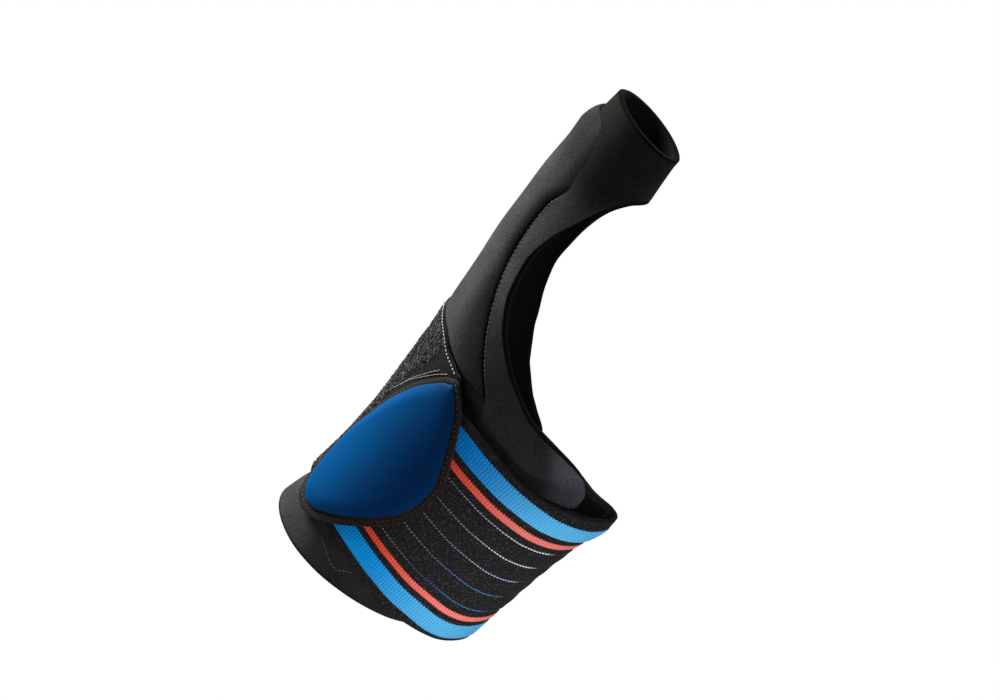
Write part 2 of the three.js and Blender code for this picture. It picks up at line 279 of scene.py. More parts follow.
# Two light rows of stitches on the patch that run up beside the tab
TWIN_ROWS = table(
    "z left right",
    (5.5, 185, 185),
    (10, 194, 194.1),
    (14.8, 200.4, 200.6),
    (19.2, 206, 206.3),
    (24.3, 210.9, 211.6),
    (27.8, 214.8, 216.1),
    (31, 218.7, 220.3),
    (34.2, 222.5, 224.7),
    (37.2, 226.9, 230),
    (40, 231.7, 236.9),
)
TWIN_FROM, TWIN_TO = 6, {"left": 35.9, "right": 37.4}

# A light row of stitches that turns a corner on the wrap, below the strap
CORNER_ROW = table(
    "step angle z",
    (0, 239.1, -31.1),
    (1, 246.7, -32.6),
    (2, 253.4, -34.1),
    (3, 258.6, -34.5),
    (4, 261.5, -32.8),
    (5, 264.9, -31.1),
)

# Light stitches along the patch's upper edge: how far below it, and over which share of it
PATCH_SEAM_DROP, PATCH_SEAM_SHARES = 0.35, (0.02, 0.98)

# Rows of stitches beside the pocket: the edge, degrees away from it and the upper end of each row, how far
# above the pocket's foot both start, and the faces on which they lie
STAY_SEAMS = ("back", -2.5, 115), ("front", 3.0, 92)
STAY_SEAM_FOOT, STAY_SEAM_FACES = 4, (0, PANEL_RISE)

# Stitches of each seam: the step along it, a stitch's three sizes, and how far its middle is off the cloth
Stitch = namedtuple("Stitch", "pitch long wide high lift")
TAB_STITCH = Stitch(pitch=1.7, long=0.55, wide=0.30, high=0.25, lift=0.05)
PATCH_SEAM_STITCH = Stitch(pitch=1.3, long=1.0, wide=0.36, high=0.32, lift=0.12)
TWIN_STITCH = Stitch(pitch=1.55, long=1.5, wide=0.32, high=0.30, lift=0.15)
STRAP_THREAD_STITCH = Stitch(pitch=1.15, long=1.0, wide=0.46, high=0.44, lift=0.2)
CORNER_STITCH = Stitch(pitch=1.2, long=0.8, wide=0.28, high=0.25, lift=0.1)
STAY_STITCH = Stitch(pitch=1.4, long=0.9, wide=0.30, high=0.25, lift=0.1)
STRAP_END_STITCH = Stitch(pitch=1.4, long=1.0, wide=0.32, high=0.30, lift=0.1)

# A stitch's form: places along it from end to end, its girth there, and its sides
STITCH_ALONG = np.array([-1, -0.8, -0.35, 0.35, 0.8, 1])
STITCH_GIRTH = np.array([0.35, 0.8, 1, 1, 0.8, 0.35])
STITCH_SIDES = 6

# Points by which the line of a seam is worked out
LINE_POINTS = 600

# Rims of the cloth: steps round the edge, the bulge as a share of half the thickness, and how far the mark
# of the inside has risen where a rim starts, which paints shade on the outer face next to each rim
RIM_STEPS, RIM_BULGE, RIM_SHADE = 4, 0.3, 0.16

# Slow unevenness of hand-cut cloth: the lengths of its waves along each axis, and how they lean
WAVE_X, WAVE_Y, WAVE_Z, WAVE_START = 5.3, 6.1, 7.7, 0.7
WAVE_LEAN_X, WAVE_LEAN_Z = 17.0, 13.0

# The elastic's weave along and across the strap, the teeth of a stripe's edge and how soft it is, how far
# from the badge the stripes pale as painted light, and where the lower blue stripe's colours, with their
# painted light and shade, turn into the upper one's
WEAVE_ALONG, WEAVE_ACROSS, WEAVE_SAW, WEAVE_EDGE = 0.95, 0.8, 0.7, 0.08
PALE_RUN, STRAP_MIDDLE = (14, 50), (20, 40)

# The share of a strap thread's length in which its colours, painted light among them, run through once
THREAD_COLOUR_RUN = 0.41

# Where the plate deepens: towards the front and, less, towards its tip as painted shade
PLATE_FRONT, PLATE_TIP, PLATE_TIP_SHADE = (6, 34), (26, 40), 0.15


def ease(start, end, at):
    """Eased step from 0 at start to 1 at end."""
    share = np.clip((at - start) / (end - start), 0, 1)
    return share * share * (3 - 2 * share)


def mix(a, b, share):
    """A value that share of the way from a to b."""
    return a + (b - a) * share


def unit(vectors):
    """Each vector divided by its length."""
    return vectors / np.maximum(np.linalg.norm(vectors, axis=-1, keepdims=True), 1e-9)


def along(rows, column, place):
    """Cubic through a table's rows. Its slope at a row is the harmonic mean of the rises on both sides,
    and zero at the ends or where the two differ in sign, so it never swings past a row."""
    at, value = rows[next(iter(rows))], rows[column]
    step = np.diff(at)
    rise = np.diff(value) / step
    before, after = rise[:-1], rise[1:]
    agree = before * after > 0
    slope = np.zeros(len(at))
    slope[1:-1] = np.where(agree, 2 * before * after / np.where(agree, before + after, 1), 0)
    place = np.clip(place, at[0], at[-1])
    i = np.clip(np.searchsorted(at, place) - 1, 0, len(step) - 1)
    t = (place - at[i]) / step[i]
    lean = slope[i] * (1 - t) - slope[i + 1] * t
    return mix(value[i], value[i + 1], t * t * (3 - 2 * t)) + t * (1 - t) * step[i] * lean


def body_point(angle, height, offset):
    """Points of the body: at each height the ellipse between the four extents, grown by the offset."""
    left, right, front, back = (along(BODY, side, height) for side in ("left", "right", "front", "back"))
    turn = np.radians(angle)
    x = (left + right) / 2 + ((right - left) / 2 + offset) * np.cos(turn)
    y = (front + back) / 2 + ((back - front) / 2 + offset) * np.sin(turn)
    return np.stack(np.broadcast_arrays(x, y, height), axis=-1)


def outward(angle, height, offset):
    """Unit normals of the body: the cross product of its two tangents."""
    step = 0.5
    round_it = body_point(angle + step, height, offset) - body_point(angle - step, height, offset)
    up_it = body_point(angle, height + step, offset) - body_point(angle, height - step, offset)
    return unit(np.cross(round_it, up_it))


def grid(rows, columns):
    """Shares v up the rows and u along the columns of a grid, each from 0 to 1."""
    return np.meshgrid(np.linspace(0, 1, rows), np.linspace(0, 1, columns), indexing="ij")


def grid_faces(rows, columns, joined_from=None):
    """Quads of a grid. From the row joined_from upwards the last column is the first one."""
    index = np.arange(rows * columns).reshape(rows, columns)
    if joined_from is not None:
        index[joined_from:, -1] = index[joined_from:, 0]
    corners = index[:-1, :-1], index[:-1, 1:], index[1:, 1:], index[1:, :-1]
    return np.stack(corners, axis=-1).reshape(-1, 4)


def make_piece(name, points, faces, uv=None, **attributes):
    """A mesh object from points in millimetres, arrays of faces, and values at the points. Points that
    no face uses are dropped."""
    used = np.unique(np.concatenate([part.ravel() for part in faces]))
    renumber = np.zeros(len(points), int)
    renumber[used] = np.arange(len(used))
    mesh = bpy.data.meshes.new(name)
    face_list = [face for part in faces for face in renumber[part].tolist()]
    mesh.from_pydata((points[used] * MM).tolist(), [], face_list)
    mesh.polygons.foreach_set("use_smooth", np.ones(len(face_list), bool))
    if uv is not None:
        corner = np.zeros(len(mesh.loops), np.int32)
        mesh.loops.foreach_get("vertex_index", corner)
        layer = mesh.uv_layers.new(name="UVMap")
        layer.data.foreach_set("uv", (uv[used][corner] * MM).astype(np.float32).ravel())
    for label, values in attributes.items():
        attribute = mesh.attributes.new(label, "FLOAT", "POINT")
        attribute.data.foreach_set("value", values[used].astype(np.float32))
    mesh.update()
    piece = bpy.data.objects.new(name, mesh)
    bpy.context.scene.collection.objects.link(piece)
    return piece


def cloth_shell(name, inner, outer, faces, uv=None, **marks):
    """Closed cloth between the two faces of one grid. A rim runs round each free edge: half an ellipse
    whose one axis is the cloth's thickness there and whose other points away from the cloth."""
    inner, outer = inner.reshape(-1, 3), outer.reshape(-1, 3)
    count = len(outer)
    edges = np.concatenate([
        np.stack([part, np.roll(part, -1, axis=1)], axis=-1).reshape(-1, 2) for part in faces
    ])
    free = ~np.isin(edges @ (count, 1), edges @ (1, count))
    start, end = edges[free].T
    middle, half = (inner + outer) / 2, (outer - inner) / 2
    sideways = np.cross(unit(middle[end] - middle[start]), unit(half[start] + half[end]))
    away = np.zeros_like(middle)
    np.add.at(away, start, sideways)
    np.add.at(away, end, sideways)
    rim = np.unique(start)
    place = np.zeros(count, int)
    place[rim] = np.arange(len(rim))
    turn = np.pi * np.arange(1, RIM_STEPS)[:, None, None] / RIM_STEPS
    reach = unit(away[rim]) * np.linalg.norm(half[rim], axis=1, keepdims=True) * RIM_BULGE
    ring = middle[rim] + np.cos(turn) * half[rim] + np.sin(turn) * reach

    def step_index(step, vertex):
        """Points of the rim at a step, from the outer face to the inner one."""
        if step == 0:
            return vertex
        if step == RIM_STEPS:
            return count + vertex
        return 2 * count + (step - 1) * len(rim) + place[vertex]

    def band(step):
        """Quads of the rim from one step to the next."""
        corners = (step, end), (step, start), (step + 1, start), (step + 1, end)
        return np.stack([step_index(*corner) for corner in corners], axis=1)

    points = np.concatenate([outer, inner, ring.reshape(-1, 3)])
    rim_share = np.repeat(np.arange(1, RIM_STEPS) / RIM_STEPS, len(rim))
    at_rim = np.isin(np.arange(count), rim)
    inside = np.concatenate([np.where(at_rim, RIM_SHADE, 0), np.ones(count), rim_share])
    source = np.concatenate([np.arange(count), np.arange(count), np.tile(rim, RIM_STEPS - 1)])
    if uv is not None:
        uv = uv.reshape(-1, 2)[source]
    marks = {label: values.ravel()[source] for label, values in marks.items()}
    all_faces = [*faces, *(part[:, ::-1] + count for part in faces), *map(band, range(RIM_STEPS))]
    return make_piece(name, points, all_faces, uv, inside=inside, **marks)


def lay_line(angle, height, face, stitch):
    """Even steps of a stitch along a line on a face of cloth: the place, direction and normal of each, and
    its share of the line."""
    angle, height, offset = np.broadcast_arrays(np.asarray(angle, float), height, face + stitch.lift)
    way = body_point(angle, height, offset)
    length = np.concatenate([[0], np.cumsum(np.linalg.norm(np.diff(way, axis=0), axis=1))])
    steps = np.arange(stitch.pitch / 2, length[-1], stitch.pitch)
    at = [np.interp(steps, length, values) for values in (angle, height, offset)]
    centre = body_point(*at)
    return centre, unit(np.gradient(centre, axis=0)), outward(*at), steps / length[-1]


def tube_faces(count, rings, sides):
    """Faces of many closed tubes: quads from each ring to the next, and a cap at both ends."""
    ring = np.arange(rings * sides).reshape(rings, sides)
    turned = np.roll(ring, -1, axis=1)
    walls = np.stack([ring[:-1], ring[1:], turned[1:], turned[:-1]], -1).reshape(-1, 4)
    caps = np.stack([ring[0], ring[-1][::-1]])
    first = ring.size * np.arange(count)[:, None, None]
    return [(part + first).reshape(-1, part.shape[1]) for part in (walls, caps)]


def stitch_bars(name, ways, face, stitch):
    """Stitches of one thread: bars with narrow ends, which lie along ways of angles and heights on one face
    of cloth, or on a face for each way, and dip into it at both ends."""
    lines = [lay_line(*way, offset, stitch) for way, offset in zip(ways, np.broadcast_to(face, len(ways)))]
    row = np.repeat(np.linspace(0, 1, len(lines)), [len(line[0]) for line in lines])
    centre, run, out, share = (np.concatenate(parts) for parts in zip(*lines))
    turn = 2 * np.pi * np.arange(STITCH_SIDES) / STITCH_SIDES
    along_it = np.repeat(STITCH_ALONG * stitch.long / 2, STITCH_SIDES)
    side = np.outer(STITCH_GIRTH, np.cos(turn)).ravel() * stitch.wide / 2
    rise = np.outer(STITCH_GIRTH, np.sin(turn)).ravel() * stitch.high / 2
    rise = rise - np.repeat(STITCH_ALONG**2, STITCH_SIDES) * stitch.high / 2
    across = np.cross(run, out)
    shape = along_it[:, None], side[:, None], rise[:, None]
    points = centre[:, None] + sum(part * axis[:, None] for part, axis in zip(shape, (run, across, out)))
    faces = tube_faces(len(centre), len(STITCH_ALONG), STITCH_SIDES)
    share, row = (np.repeat(values, len(along_it)) for values in (share, row))
    return make_piece(name, points.reshape(-1, 3), faces, share=share, row=row)


def math_method(operation, reflected=False):
    """A method of Value that adds a Math node, with the value first or, reflected, last."""

    def method(self, *others):
        operands = (*others, self) if reflected else (self, *others)
        node = self.finish.add("ShaderNodeMath", {"operation": operation}, dict(enumerate(operands)))
        return Value(self.finish, node.outputs[0])

    return method


class Value:
    """A number in a material. Arithmetic on it adds Math nodes."""

    def __init__(self, finish, socket):
        self.finish, self.socket = finish, socket

    __add__ = __radd__ = math_method("ADD")
    __sub__, __rsub__ = math_method("SUBTRACT"), math_method("SUBTRACT", reflected=True)
    __mul__ = __rmul__ = math_method("MULTIPLY")
    __truediv__, __rtruediv__ = math_method("DIVIDE"), math_method("DIVIDE", reflected=True)
    __lt__, __gt__ = math_method("LESS_THAN"), math_method("GREATER_THAN")
    __abs__, power = math_method("ABSOLUTE"), math_method("POWER")
    fraction, whole = math_method("FRACT"), math_method("FLOOR")

    def hump(self):
        """A smooth bump from 0 to 1 and back in each whole step."""
        part = self.fraction()
        return part * (1 - part) * 4

    def smooth(self, start, end):
        """Eased step from 0 at start to 1 at end."""
        node = self.finish.add(
            "ShaderNodeMapRange", {"interpolation_type": "SMOOTHSTEP"},
            {"Value": self, "From Min": start, "From Max": end},
        )
        return Value(self.finish, node.outputs["Result"])

    def band(self, start, end, soft):
        """1 between start and end, with soft edges."""
        return self.smooth(start - soft, start + soft) * (1 - self.smooth(end - soft, end + soft))


class Finish:
    """A material whose varying colour, roughness and bump are worked out by nodes."""

    def __init__(self, name, **constants):
        self.material = bpy.data.materials.new(name)
        self.material.use_nodes = True
        self.tree = self.material.node_tree
        self.shader = self.tree.nodes["Principled BSDF"]
        sockets = {socket.name.lower().replace(" ", "_"): socket for socket in self.shader.inputs}
        for label, value in constants.items():
            sockets[label].default_value = value

    def add(self, kind, settings=None, sockets=None):
        """A node of any kind: its settings first, then the values or links of its sockets."""
        node = self.tree.nodes.new(kind)
        for label, value in (settings or {}).items():
            setattr(node, label, value)
        for label, value in (sockets or {}).items():
            self.join(node.inputs[label], value)
        return node

    def join(self, target, value):
        """Links a value to a socket, or sets the socket where the value is a number or a colour."""
        source = value.socket if isinstance(value, Value) else value
        if isinstance(source, bpy.types.NodeSocket):
            self.tree.links.new(source, target)
        elif isinstance(source, tuple) and len(source) == 3 and target.type == "RGBA":
            target.default_value = (*source, 1)
        else:
            target.default_value = source

    def place(self):
        """Object coordinates, in metres."""
        return self.add("ShaderNodeTexCoord").outputs["Object"]

    def flat(self):
        """The two coordinates of the cloth laid flat, in millimetres."""
        split = self.add("ShaderNodeSeparateXYZ", None, {0: self.add("ShaderNodeTexCoord").outputs["UV"]})
        return tuple(Value(self, split.outputs[axis]) / MM for axis in "XY")

    def attribute(self, label):
        """A mark that the mesh carries at its points."""
        return Value(self, self.add("ShaderNodeAttribute", {"attribute_name": label}).outputs["Fac"])

    def noise(self, size, detail=2.0, where=None):
        """Cloudy noise from 0 to 1 with lumps of about this many millimetres."""
        sockets = {"Vector": where or self.place(), "Scale": 1 / (size * MM), "Detail": detail}
        return Value(self, self.add("ShaderNodeTexNoise", None, sockets).outputs["Fac"])

    def specks(self, spacing, size, share):
        """1 in small dots of a size in millimetres, in that share of the cells of a spacing."""
        sockets = {"Vector": self.place(), "Scale": 1 / (spacing * MM)}
        cells = self.add("ShaderNodeTexVoronoi", None, sockets)
        drawn = self.add("ShaderNodeSeparateColor", None, {0: cells.outputs["Color"]})
        near = Value(self, cells.outputs["Distance"]) < size / spacing
        return near * (Value(self, drawn.outputs[0]) < share)

    def blend(self, share, first, second):
        """Colour between two colours."""
        node = self.add("ShaderNodeMix", {"data_type": "RGBA"}, {0: share, 6: first, 7: second})
        return node.outputs[2]

    def color(self, color):
        self.join(self.shader.inputs["Base Color"], color)

    def roughness(self, value):
        self.join(self.shader.inputs["Roughness"], value)

    def bump(self, height, depth, strength=1.0):
        """Surface relief: height from 0 to 1 stands for a depth in millimetres."""
        sockets = {"Strength": strength, "Distance": depth * MM, "Height": height}
        node = self.add("ShaderNodeBump", None, sockets)
        self.join(self.shader.inputs["Normal"], node.outputs["Normal"])


def neoprene_finish():
    """Matte jersey over neoprene: fine knit, soft patches and lint. Painted shade browns and darkens it
    where
    the tube mark is set, painted light makes the tongue paler, and the cut edges and the inside are black:
    partly the dark lining and cut edge, partly painted shade."""
    finish = Finish("neoprene", specular_ior_level=0.06, sheen_weight=0.02, sheen_roughness=0.45)
    knit = finish.noise(0.5, 3.0)
    cloud = finish.noise(9.0)
    grain = (knit * 0.8 + cloud * 0.3).smooth(0.25, 0.85)
    # The panel colours are the cloth's own; the tube colours are painted shade, the tongue colours painted
    # light
    panel = finish.blend(grain, (0.033, 0.031, 0.0335), (0.088, 0.084, 0.090))
    tube = finish.blend(grain, (0.0075, 0.0065, 0.0055), (0.027, 0.024, 0.0215))
    tongue = finish.blend(grain, (0.050, 0.046, 0.060), (0.125, 0.116, 0.148))
    shade = finish.attribute("tube")
    lit = finish.blend(shade, panel, tube)
    lit = finish.blend(finish.attribute("pale"), lit, tongue)
    lint = finish.specks(2.2, 0.17, 0.35)
    dusty = finish.blend(lint * (0.55 - 0.5 * shade), lit, (0.26, 0.26, 0.28))
    inside = finish.attribute("inside")
    # Rims nearly black, the inside a little lighter: partly the black lining and cut edge, partly painted
    # shade
    lining_and_painted_shade = finish.blend(inside.smooth(0.6, 1.0), (0.003, 0.0025, 0.002), (0.011, 0.0095, 0.0075))
    finish.color(finish.blend(inside.smooth(0.02, 0.22), dusty, lining_and_painted_shade))
    finish.roughness(0.75 + knit * 0.2)
    finish.bump(knit, 0.10)
    return finish.material


def loop_finish():
    """Brushed loop fabric: dark ground, with a coarse grey mottle where the pile stands."""
    finish = Finish("loop_fabric", specular_ior_level=0.12, sheen_weight=0.08, sheen_roughness=0.5)
    mottle = finish.noise(1.3, 3.0)
    pile = finish.attribute("pile")
    light = mottle.smooth(0.45, 0.62) * pile
    grain = finish.noise(0.6, 3.0).smooth(0.35, 0.75)
    ground = finish.blend(grain, (0.003, 0.0027, 0.0025), (0.016, 0.015, 0.0145))
    finish.color(finish.blend(light, ground, (0.095, 0.093, 0.095)))
    finish.roughness(0.8 + mottle * 0.15)
    finish.bump(mottle * pile, 0.35)
    return finish.material


def pile_finish():
    """Loops of the pile, each of its own grey."""
    finish = Finish("loop_pile", roughness=0.75, specular_ior_level=0.3)
    shade = finish.attribute("share")
    finish.color(finish.blend(shade.power(3.0), (0.016, 0.016, 0.016), (0.20, 0.197, 0.197)))
    return finish.material


def elastic_finish():
    """Woven elastic: black ground with two sky blue and two coral stripes whose edges step with the weave.
    Away from the badge the stripes pale as painted light, and the lower blue stripe has painted light and
    shade of its own. Each crossing of the threads is a small lump, and alternate rows are shifted by half a
    step."""
    finish = Finish("elastic", specular_ior_level=0.2)
    run, across = finish.flat()
    row = run / WEAVE_ALONG
    lump = row.hump() * (across / WEAVE_ACROSS + row.whole() * 0.5).hump()
    edge = across + (abs(row.fraction() - 0.5) - 0.25) * WEAVE_SAW

    def stripes(rows):
        """1 on the stripes of a table."""
        return sum(edge.band(low, high, WEAVE_EDGE) for low, high in zip(rows["low"], rows["high"]))

    blue, coral = stripes(BLUE_STRIPES), stripes(CORAL_STRIPES)
    # Painted light: the stripes pale along the run, and the lower blue stripe is lit and shaded apart
    pale = run.smooth(*PALE_RUN)
    fuzz = finish.noise(0.55, 4.0)
    ground = finish.blend(fuzz.smooth(0.52, 0.72), (0.013, 0.0118, 0.0118), (0.064, 0.061, 0.063))
    below = 1 - across.smooth(*STRAP_MIDDLE)
    deep = finish.blend(below, (0.001, 0.19, 0.64), (0.001, 0.26, 0.80))
    bright = finish.blend(below, (0.003, 0.31, 0.88), (0.004, 0.42, 1.0))
    far_deep = finish.blend(below, (0.045, 0.39, 0.80), (0.034, 0.32, 0.64))
    far_bright = finish.blend(below, (0.19, 0.65, 1.0), (0.16, 0.57, 0.90))
    dark_sky = finish.blend(pale, deep, far_deep)
    light_sky = finish.blend(pale, bright, far_bright)
    dark_red = finish.blend(pale, (0.78, 0.052, 0.024), (0.74, 0.13, 0.11))
    light_red = finish.blend(pale, (1.0, 0.115, 0.058), (1.0, 0.29, 0.26))
    sky, red = finish.blend(lump, dark_sky, light_sky), finish.blend(lump, dark_red, light_red)
    striped = finish.blend(coral, finish.blend(blue, ground, sky), red)
    inside = finish.attribute("inside").smooth(0.02, 0.3)
    finish.color(finish.blend(inside, striped, (0.008, 0.008, 0.008)))
    finish.roughness(0.6 + fuzz * 0.25)
    finish.bump(lump * (blue + coral) * 0.6 + fuzz * 0.4, 0.22)
    return finish.material


def tab_finish():
    """Flat woven brownish black cloth of the strap's end."""
    finish = Finish("tab_fabric", specular_ior_level=0.25, sheen_weight=0.1, sheen_roughness=0.4)
    grain = finish.noise(0.45, 3.0)
    finish.color(finish.blend(grain.smooth(0.4, 0.7), (0.009, 0.007, 0.006), (0.030, 0.024, 0.020)))
    finish.roughness(0.65 + grain * 0.25)
    finish.bump(grain, 0.15)
    return finish.material


def plate_finish():
    """Domed smooth blue plastic, a little deeper towards the front, and towards the tip as painted shade.
    """
    finish = Finish("badge_plastic", specular_ior_level=0.06)
    run, across = finish.flat()
    cloud = finish.noise(6.0)
    # The tip term is painted shade
    deep = run.smooth(*PLATE_FRONT) + 0.1 * cloud + PLATE_TIP_SHADE * across.smooth(*PLATE_TIP)
    finish.color(finish.blend(deep, (0.0005, 0.085, 0.27), (0.0005, 0.022, 0.09)))
    finish.roughness(0.5 + 0.06 * cloud)
    finish.bump(finish.noise(2.5), 0.02)
    return finish.material


def thread_finish(name, dark, light):
    """Sewing thread whose colour drifts along the line and whose strands are twisted."""
    finish = Finish(name, specular_ior_level=0.35, sheen_weight=0.2)
    drift = finish.attribute("share")
    twist = finish.noise(0.25)
    finish.color(finish.blend(drift * 0.7 + twist * 0.4, dark, light))
    finish.roughness(0.55 + twist * 0.2)
    return finish.material


def strap_thread_finish():
    """Thread whose colours run through again and again: grey at first as beside the badge, then violet,
    then pale as painted light, then dark. The lower rows stay bluer."""
    finish = Finish("strap_thread", roughness=0.65, specular_ior_level=0.3, sheen_weight=0.2)
    row = finish.attribute("row")
    run = (finish.attribute("share") / THREAD_COLOUR_RUN).fraction()
    blue = finish.blend(row, (0.05, 0.06, 0.22), (0.30, 0.31, 0.46))
    grey = finish.blend(run.smooth(0.05, 0.25), (0.02, 0.02, 0.025), (0.17, 0.155, 0.15))
    near = finish.blend(run.smooth(0.30, 0.50), grey, blue)
    # Painted light: the pale stretch, whitest on the upper rows
    pale = finish.blend(row.smooth(0.2, 0.85), (0.04, 0.20, 0.50), (0.88, 0.90, 0.94))
    colours_and_painted_light = finish.blend(run.smooth(0.48, 0.80), near, pale)
    finish.color(finish.blend(run.smooth(0.90, 0.97), colours_and_painted_light, (0.02, 0.02, 0.025)))
    return finish.material


def soft_waves(points, height):
    """Slow unevenness of hand-cut cloth, as the product of three sines over the place."""
    x, y, z = np.moveaxis(points, -1, 0)
    waves = np.sin(x / WAVE_X + WAVE_START) * np.sin(y / WAVE_Y + z / WAVE_LEAN_Z)
    return height * waves * np.sin(z / WAVE_Z + x / WAVE_LEAN_X)


def thumb_sleeve():
    """Open on the hand's side up to the web arch, then a tube to its oblique mouth. The tongue of its
    front panel bends in towards the palm."""
    open_rows, mouth_rows, columns = 170, 26, 121
    web = HAND_OPENING["z"][-1]
    levels = np.linspace(HAND_OPENING["z"][0], web, open_rows)
    levels = np.concatenate([levels, np.linspace(web, MOUTH_HEIGHT, mouth_rows + 1)[1:]])
    height, share = np.meshgrid(levels, np.linspace(0, 1, columns), indexing="ij")
    angle = mix(along(HAND_OPENING, "back", height), 360 - along(HAND_OPENING, "front", height), share)
    turn = np.radians(angle)
    drop = MOUTH_DROP_BACK * np.sin(turn) + MOUTH_DROP_RIGHT * np.cos(turn)
    slant = drop * ease(web, MOUTH_HEIGHT, height)
    bend = TONGUE_BEND * ease(*TONGUE_BEND_ANGLES, angle) * ease(*TONGUE_BEND_HEIGHTS, height)
    bend = np.where(height < web, bend, 0)
    beside = angle - along(STAY_EDGES, "front", height)
    rise = PANEL_RISE * ease(*PANEL_RAMP, beside) * ease(*PANEL_FADE, height)
    inner = body_point(angle, height, -NEOPRENE - bend)
    outer = body_point(angle, height, rise - bend)
    inner[..., 2] -= slant
    outer[..., 2] -= slant
    faces = grid_faces(len(levels), columns, joined_from=open_rows - 1)
    # Painted shade up the tube and on the low middle of the front panel, painted light on the tongue
    shade = PANEL_SHADE * ease(*PANEL_SHADE_HEIGHTS, height) * ease(*PANEL_SHADE_ANGLES, angle)
    tube = np.maximum(ease(*TUBE_HEIGHTS, height), shade)
    pale = ease(*TONGUE_PALE_ANGLES, angle) * ease(*TONGUE_PALE_HEIGHTS, height)
    return cloth_shell("thumb_sleeve_cloth", inner, outer, [faces], tube=tube, pale=pale)


def stay_panel():
    """Padded pocket: blunt at its foot, thin at its other edges and crowned between them. Its front edge
    sinks into the tube higher up."""
    rows, columns = 150, 80
    v, u = grid(rows, columns)
    height = mix(along(STAY_FOOT, "z", u), STAY_EDGES["z"][-1], v)
    angle = mix(along(STAY_EDGES, "back", height), along(STAY_EDGES, "front", height), u)
    end = np.minimum(1, np.sqrt(STAY_END_RISE * (1 - v)))
    soft = ease(*STAY_SOFT_HEIGHTS, height) * ease(*STAY_SOFT_SHARES, u)
    crown = np.sin(np.pi * u).clip(0) ** mix(*STAY_CROWN, soft)
    puff = mix(STAY_PUFF_LOW, STAY_PUFF_HIGH, v) * crown * end
    laid = STAY_INNER, STAY_INNER + STAY_EDGE
    low, high = (mix(flat, sunk, soft) for flat, sunk in zip(laid, STAY_SINK))
    inner = body_point(angle, height, low)
    outer = body_point(angle, height, high + puff + soft_waves(inner, STAY_WAVES) * crown)
    # Painted shade along the pocket's front edge, at its upper end and where it sinks into the tube
    up = ease(*STAY_SHADE_HEIGHTS, height)
    shade = STAY_SHADE * ease(mix(*STAY_SHADE_FROM, up), mix(*STAY_SHADE_TO, up), u)
    shade = np.maximum(shade, STAY_TIP_SHADE * ease(*STAY_TIP_HEIGHTS, height))
    tube = np.maximum(soft * ease(*STAY_SUNK_SHARES, u), shade)
    return cloth_shell("stay_panel_pad", inner, outer, [grid_faces(rows, columns)], tube=tube)


def wrist_wrap():
    """Ring of cloth between two uneven rims."""
    rows, columns = 70, 221
    v, u = grid(rows, columns)
    angle = 360 * u
    height = mix(along(WRAP_RIMS, "low", angle), along(WRAP_RIMS, "high", angle), v)
    inner = body_point(angle, height, WRAP_INNER)
    outer = body_point(angle, height, WRAP_FACE)
    faces = grid_faces(rows, columns, joined_from=0)
    # Painted shade over the whole wrap, deepest on its front
    tube = mix(*WRAP_SHADES, ease(*WRAP_SHADE_ANGLES, angle) * ease(*WRAP_LIGHT_ANGLES, angle))
    return cloth_shell("wrist_wrap_cloth", inner, outer, [faces], tube=tube)


def strap_relief(across):
    """Height of the weave: ribs between the thread lines, and stripes that stand up as low welts."""
    step = (across - THREAD_FIRST) / THREAD_PITCH
    ribbed = (step > 0) & (step < THREAD_LINES - 1)
    rib = np.where(ribbed, RIB_HEIGHT * np.abs(np.sin(np.pi * step)) ** RIB_ROUND, 0)

    def past(edge, way):
        """Eased step over a stripe's edge, up the strap where way is 1 and down it where way is -1."""
        return ease(edge - way * STRIPE_SOFT, edge + way * STRIPE_SOFT, across)

    welt = sum(
        past(low, 1) * past(high, -1)
        for rows in (BLUE_STRIPES, CORAL_STRIPES)
        for low, high in zip(rows["low"], rows["high"])
    )
    return rib + STRIPE_HEIGHT * welt


def strap_place(u, v):
    """Angle and height on the strap at a share u along it and v up it."""
    angle = mix(STRAP_RIMS["angle"][0], STRAP_RIMS["angle"][-1], u)
    return angle, mix(along(STRAP_RIMS, "low", angle), along(STRAP_RIMS, "high", angle), v)


def elastic_strap():
    """Woven band from its end under the badge round the front, the right side and the back."""
    rows, columns = 151, 241
    v, u = grid(rows, columns)
    angle, height = strap_place(u, v)
    across = STRAP_WIDTH * v - along(WEAVE_WANDER, "up", angle)
    inner = body_point(angle, height, STRAP_INNER)
    outer = body_point(angle, height, STRAP_FACE - STRIPE_HEIGHT + strap_relief(across))
    run = np.cumsum(np.linalg.norm(np.diff(inner[rows // 2], axis=0), axis=1))
    run = np.broadcast_to(np.concatenate([[0], run]), v.shape)
    uv = np.stack([run, across], axis=-1)
    return cloth_shell("elastic_strap_web", inner, outer, [grid_faces(rows, columns)], uv)


def patch_place(u, v):
    """Angle and height on the loop patch at a share u along it and v up it. Its top slopes, and its front
    edge steps forward above the strap."""
    height = mix(PATCH_LOW, along(PATCH_TOP, "z", u), v)
    front = mix(PATCH_FRONT_BELOW, PATCH_FRONT_ABOVE, ease(*PATCH_CORNER, height))
    return mix(PATCH_BACK, front, u), height


def pile_at(u, v):
    """1 where the patch has its pile and 0 on its bare part, with a soft edge between."""
    angle, height = patch_place(u, v)
    beside = PILE_ANGLE + PILE_SLANT * np.maximum(height, 0) - angle
    below = along(PATCH_TOP, "z", u) - PILE_HEM - height
    at_side = ease(-PILE_SOFT_ANGLE, PILE_SOFT_ANGLE, beside)
    return at_side * ease(-PILE_SOFT_HEM, PILE_SOFT_HEM, below)


def loop_patch():
    """Ground cloth of the loop patch, marked where the pile stands."""
    rows, columns = 120, 90
    v, u = grid(rows, columns)
    angle, height = patch_place(u, v)
    inner = body_point(angle, height, STRAP_INNER)
    outer = body_point(angle, height, STRAP_FACE)
    return cloth_shell("loop_patch_cloth", inner, outer, [grid_faces(rows, columns)], pile=pile_at(u, v))


